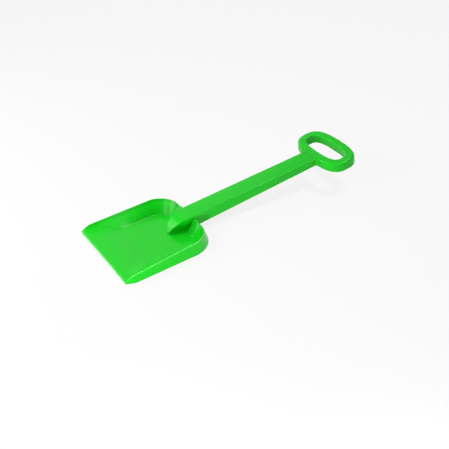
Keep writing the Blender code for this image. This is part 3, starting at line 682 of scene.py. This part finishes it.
def makeWearAndPaintedLight():
    # Pale edge = edge share squared * noise * amount: wear, and a painted highlight along the blade's rim.
    # Dark = crease share * noise * amount: painted shade just inside the blade's rim, darker lower edges at the
    # shaft's nose
    tree, start, end = newGroup("wearAndPaintedLight", (
        ("Vector", "NodeSocketVector", None), ("Edge", "NodeSocketFloat", 0.0), ("Crease", "NodeSocketFloat", 0.0),
        ("Amount", "NodeSocketFloat", 0.3)), (("WornAndPaintedHighlight", "NodeSocketFloat"), ("PaintedShadeAndDust", "NodeSocketFloat")))
    noise = addNode(tree, "ShaderNodeTexNoise", {"Vector": start.outputs["Vector"], "Scale": 210.0, "Detail": 5.0,
                                                 "Roughness": 0.7})
    rough = addNode(tree, "ShaderNodeMapRange", {"Value": noise.outputs["Fac"],
                                                 "From Min": 0.32, "From Max": 0.54})
    edge = mathNode(tree, "POWER", start.outputs["Edge"], 2.0)
    wornAndPaintedHighlight = mathNode(tree, "MULTIPLY", mathNode(tree, "MULTIPLY", edge, rough.outputs[0]), start.outputs["Amount"])
    paintedShadeAndDust = mathNode(tree, "MULTIPLY", mathNode(tree, "MULTIPLY", start.outputs["Crease"], noise.outputs["Fac"]),
                    start.outputs["Amount"])
    tree.links.new(wornAndPaintedHighlight, end.inputs["WornAndPaintedHighlight"])
    tree.links.new(paintedShadeAndDust, end.inputs["PaintedShadeAndDust"])
    return tree


mouldSkin, pigment, wearAndPaintedLight = makeMouldSkin(), makePigment(), makeWearAndPaintedLight()


def makePlastic(name, look):
    # Glossy moulded plastic: pigment, a pale edge colour (wear, and a painted highlight along the blade's rim), a
    # dark colour (painted shade just inside the blade's rim, darker lower edges at the shaft's nose), skin height
    # as bump.
    # Roughness = the look's own + a share of the hair scratches + a share of the pale edge mask
    material = bpy.data.materials.new(name)
    material.use_nodes = True
    tree = material.node_tree
    shader = tree.nodes["Principled BSDF"]
    place = addNode(tree, "ShaderNodeTexCoord").outputs["Object"]
    edge = addNode(tree, "ShaderNodeAttribute", attribute_name="edgeShare").outputs["Fac"]
    crease = addNode(tree, "ShaderNodeAttribute", attribute_name="creaseShare").outputs["Fac"]
    skin = addNode(tree, "ShaderNodeGroup", node_tree=mouldSkin)
    colour = addNode(tree, "ShaderNodeGroup", node_tree=pigment)
    wornAndPaintedHighlight = addNode(tree, "ShaderNodeGroup", node_tree=wearAndPaintedLight)
    for group in (skin, colour, wornAndPaintedHighlight):
        tree.links.new(place, group.inputs["Vector"])
    tree.links.new(edge, wornAndPaintedHighlight.inputs["Edge"])
    tree.links.new(crease, wornAndPaintedHighlight.inputs["Crease"])
    for key, group, label in (("waves", skin, "Waves"), ("peel", skin, "Peel"), ("scratches", skin, "Scratches"),
                              ("base", colour, "Base"), ("deep", colour, "Deep"), ("clouds", colour, "Clouds"),
                              ("wearAndPaintedLight", wornAndPaintedHighlight, "Amount")):
        group.inputs[label].default_value = look[key]
    pale = addNode(tree, "ShaderNodeMix", {"Factor": wornAndPaintedHighlight.outputs["WornAndPaintedHighlight"], "A": colour.outputs["Color"],
                                           "B": look["wornAndPaintedHighlight"]}, data_type="RGBA")
    shadedAndDusty = addNode(tree, "ShaderNodeMix", {"Factor": wornAndPaintedHighlight.outputs["PaintedShadeAndDust"], "A": pale.outputs["Result"],
                                            "B": look["paintedShadeAndDust"]}, data_type="RGBA")
    tree.links.new(shadedAndDusty.outputs["Result"], shader.inputs["Base Color"])
    rough = mathNode(tree, "MULTIPLY_ADD", skin.outputs["Rub"], look["rubRough"])
    rough.node.inputs[2].default_value = look["roughness"]
    rougher = mathNode(tree, "MULTIPLY_ADD", wornAndPaintedHighlight.outputs["WornAndPaintedHighlight"], look["wornRough"])
    tree.links.new(rough, rougher.node.inputs[2])
    tree.links.new(rougher, shader.inputs["Roughness"])
    bump = addNode(tree, "ShaderNodeBump", {"Height": skin.outputs["Height"], "Strength": look["bump"],
                                            "Distance": look["bumpDepth"]})
    tree.links.new(bump.outputs[0], shader.inputs["Normal"])
    shader.inputs["IOR"].default_value = 1.49
    shader.inputs["Specular IOR Level"].default_value = look["specular"]
    shader.inputs["Metallic"].default_value = 0.0
    return material


# Pale edge colour: wear, and a painted highlight along the rim; dark colour: painted shade just inside the rim
bladeLook = {
    "base": (0.005, 0.520, 0.010, 1.0), "deep": (0.004, 0.470, 0.008, 1.0), "clouds": 0.5,
    "wornAndPaintedHighlight": (0.17, 0.80, 0.18, 1.0), "paintedShadeAndDust": (0.004, 0.30, 0.008, 1.0), "wearAndPaintedLight": 0.9,
    "roughness": 0.24, "rubRough": 0.12, "wornRough": 0.35, "specular": 0.24,
    "waves": 0.8, "peel": 0.12, "scratches": 0.15, "bump": 0.35, "bumpDepth": 0.0004,
}
shaftLook = dict(bladeLook, roughness=0.29, wearAndPaintedLight=0.06)
gripLook = dict(bladeLook, roughness=0.29, wearAndPaintedLight=0.06, waves=0.4, scratches=0.25)

bladePiece = putPiece("scoopBlade", [bladeShell(), (*bladeGussets(), 0.0, 0.0)],
                      makePlastic("bladePlastic", bladeLook))
shaftPiece = putPiece("channelShaft", [shaftShell(), (*shaftRibs(), 0.0, 0.0)],
                      makePlastic("shaftPlastic", shaftLook))
gripPiece = putPiece("loopGrip", [ringShell(), neckShell(), (*ringRibs(), 0.0, 0.0)],
                     makePlastic("gripPlastic", gripLook))
for piece, node, slot in ((bladePiece, "scoop_blade", "blade_plastic"), (shaftPiece, "shaft", "shaft_plastic"),
                          (gripPiece, "loop_grip", "grip_plastic")):
    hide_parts(node)
    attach(piece, "root")

# Floor, light and camera
studio = {
    "floorHalf": 6, "floorBelow": 0.0003,
    "paper": 0.93,          # how pale the floor is
    "shade": 0.12,          # how much of the object's shadow it keeps
    "background": 0.950,
    "dome": {               # soft sides: level, azimuth from the front towards the right, elevation
        "leftBack": (0.46, -130, 32),
        "over": (0.05, 0, 90),
    },
    "aim": (0.0, 0.10, 0.02),   # what the lamps point at, measured from the front line
    "fillBelow": 3,         # lower lamps only fill, and leave no highlights
    "lamps": {              # level it gives, azimuth, elevation, distance, width
        "front": (0.74, -35, 22, 1.0, 0.7),
        "frontHigh": (0.48, 0, 45, 1.0, 0.6),
        "left": (0.09, -108, 33, 2.0, 1.3),
        "over": (0.12, 90, 70, 1.5, 0.9),
        "backHigh": (0.40, 178, 63, 2.6, 0.6),
        "low": (0.48, 58, 2, 0.6, 0.05),
        "right": (0.19, 90, 4, 0.7, 0.08),
    },
}


def makeFloor():
    # A wide plane just below the blade: paper colour, plainer for the camera so that the shadow stays faint
    material = bpy.data.materials.new("paperFloor")
    material.use_nodes = True
    tree = material.node_tree
    tree.nodes.clear()
    paper = addNode(tree, "ShaderNodeBsdfDiffuse", {"Color": (studio["paper"],) * 3 + (1.0,)})
    glow = addNode(tree, "ShaderNodeEmission", {"Color": (studio["background"],) * 3 + (1.0,), "Strength": 1.0})
    path = addNode(tree, "ShaderNodeLightPath")
    seen = mathNode(tree, "MAXIMUM", path.outputs["Is Camera Ray"], path.outputs["Is Glossy Ray"])
    seen = mathNode(tree, "MAXIMUM", seen, path.outputs["Is Transmission Ray"])
    share = mathNode(tree, "MULTIPLY", seen, 1 - studio["shade"])
    mix = addNode(tree, "ShaderNodeMixShader", {0: share, 1: paper.outputs[0], 2: glow.outputs[0]})
    end = addNode(tree, "ShaderNodeOutputMaterial", {"Surface": mix.outputs[0]})
    end.is_active_output = True
    span = np.linspace(-studio["floorHalf"], studio["floorHalf"], 3)
    x, y = np.meshgrid(span, span)
    points = np.stack([x, y, 0 * x - studio["floorBelow"]], -1).reshape(-1, 3)
    mesh = bpy.data.meshes.new("floor")
    mesh.from_pydata(points.tolist(), [], gridFaces(3, 3).tolist())
    mesh.materials.append(material)
    floor = bpy.data.objects.new("floor", mesh)
    scene.collection.objects.link(floor)


def wayTo(azimuth, elevation):
    # Unit vector (sin a cos e, -cos a cos e, sin e)
    a, e = math.radians(azimuth), math.radians(elevation)
    return Vector((math.sin(a) * math.cos(e), -math.cos(a) * math.cos(e), math.sin(e)))


def makeLight():
    # World: a dome that lights, and the plain background for the camera; then square lamps that face the aim
    world = bpy.data.worlds.new("studio")
    scene.world = world
    world.use_nodes = True
    tree = world.node_tree
    tree.nodes.clear()
    path = addNode(tree, "ShaderNodeLightPath")
    # The dome's level is the sum over its sides of level * square of the direction's positive component that way
    look = addNode(tree, "ShaderNodeTexCoord").outputs["Generated"]
    total = 0.0
    for level, azimuth, elevation in studio["dome"].values():
        lean = addNode(tree, "ShaderNodeVectorMath", {0: look, 1: wayTo(azimuth, elevation)},
                       operation="DOT_PRODUCT").outputs["Value"]
        share = mathNode(tree, "POWER", mathNode(tree, "MAXIMUM", lean, 0.0), 2.0)
        total = mathNode(tree, "ADD", mathNode(tree, "MULTIPLY", share, level), total)
    dome = addNode(tree, "ShaderNodeBackground", {"Color": (1, 1, 1, 1), "Strength": total})
    seen = addNode(tree, "ShaderNodeBackground", {"Color": (studio["background"],) * 3 + (1.0,), "Strength": 1.0})
    mix = addNode(tree, "ShaderNodeMixShader", {0: path.outputs["Is Camera Ray"], 1: dome.outputs[0],
                                                2: seen.outputs[0]})
    addNode(tree, "ShaderNodeOutputWorld", {"Surface": mix.outputs[0]})
    aim = Vector(studio["aim"]) + Vector((0, frontLine, 0))
    for label, (level, azimuth, elevation, distance, width) in studio["lamps"].items():
        way = wayTo(azimuth, elevation)
        lamp = bpy.data.lights.new(label, "AREA")
        lamp.size = width
        lamp.energy = level * (math.pi * distance) ** 2     # a white face square to the lamp then shows the level
        item = bpy.data.objects.new(label, lamp)
        item.location = aim + way * distance
        item.rotation_euler = way.to_track_quat("Z", "Y").to_euler()
        item.visible_glossy = elevation > studio["fillBelow"]
        scene.collection.objects.link(item)


view = {
    "place": (0.86654, -0.34948, 0.73104), "azimuth": 55.868, "elevation": 35.86, "roll": 0.546, "focal": 57.644,
}


def makeCamera():
    # Looks back along (sin a cos e, -cos a cos e, sin e), turned about that line by the roll
    r = math.radians(view["roll"])
    back = np.array(wayTo(view["azimuth"], view["elevation"]))
    right = np.cross([0, 0, 1], back)
    right /= np.linalg.norm(right)
    up = np.cross(back, right)
    axes = np.stack([math.cos(r) * right + math.sin(r) * up, math.cos(r) * up - math.sin(r) * right, back], axis=1)
    matrix = np.eye(4)
    matrix[:3, :3] = axes
    matrix[:3, 3] = np.array(view["place"]) + [0, frontLine, 0]
    lens = bpy.data.cameras.new("camera")
    lens.lens = view["focal"]
    lens.sensor_width = 36
    camera = bpy.data.objects.new("camera", lens)
    scene.collection.objects.link(camera)
    camera.matrix_world = Matrix(matrix.tolist())
    scene.camera = camera


makeFloor()
makeLight()
makeCamera()
scene.view_settings.view_transform = "Standard"
print("studio ready")
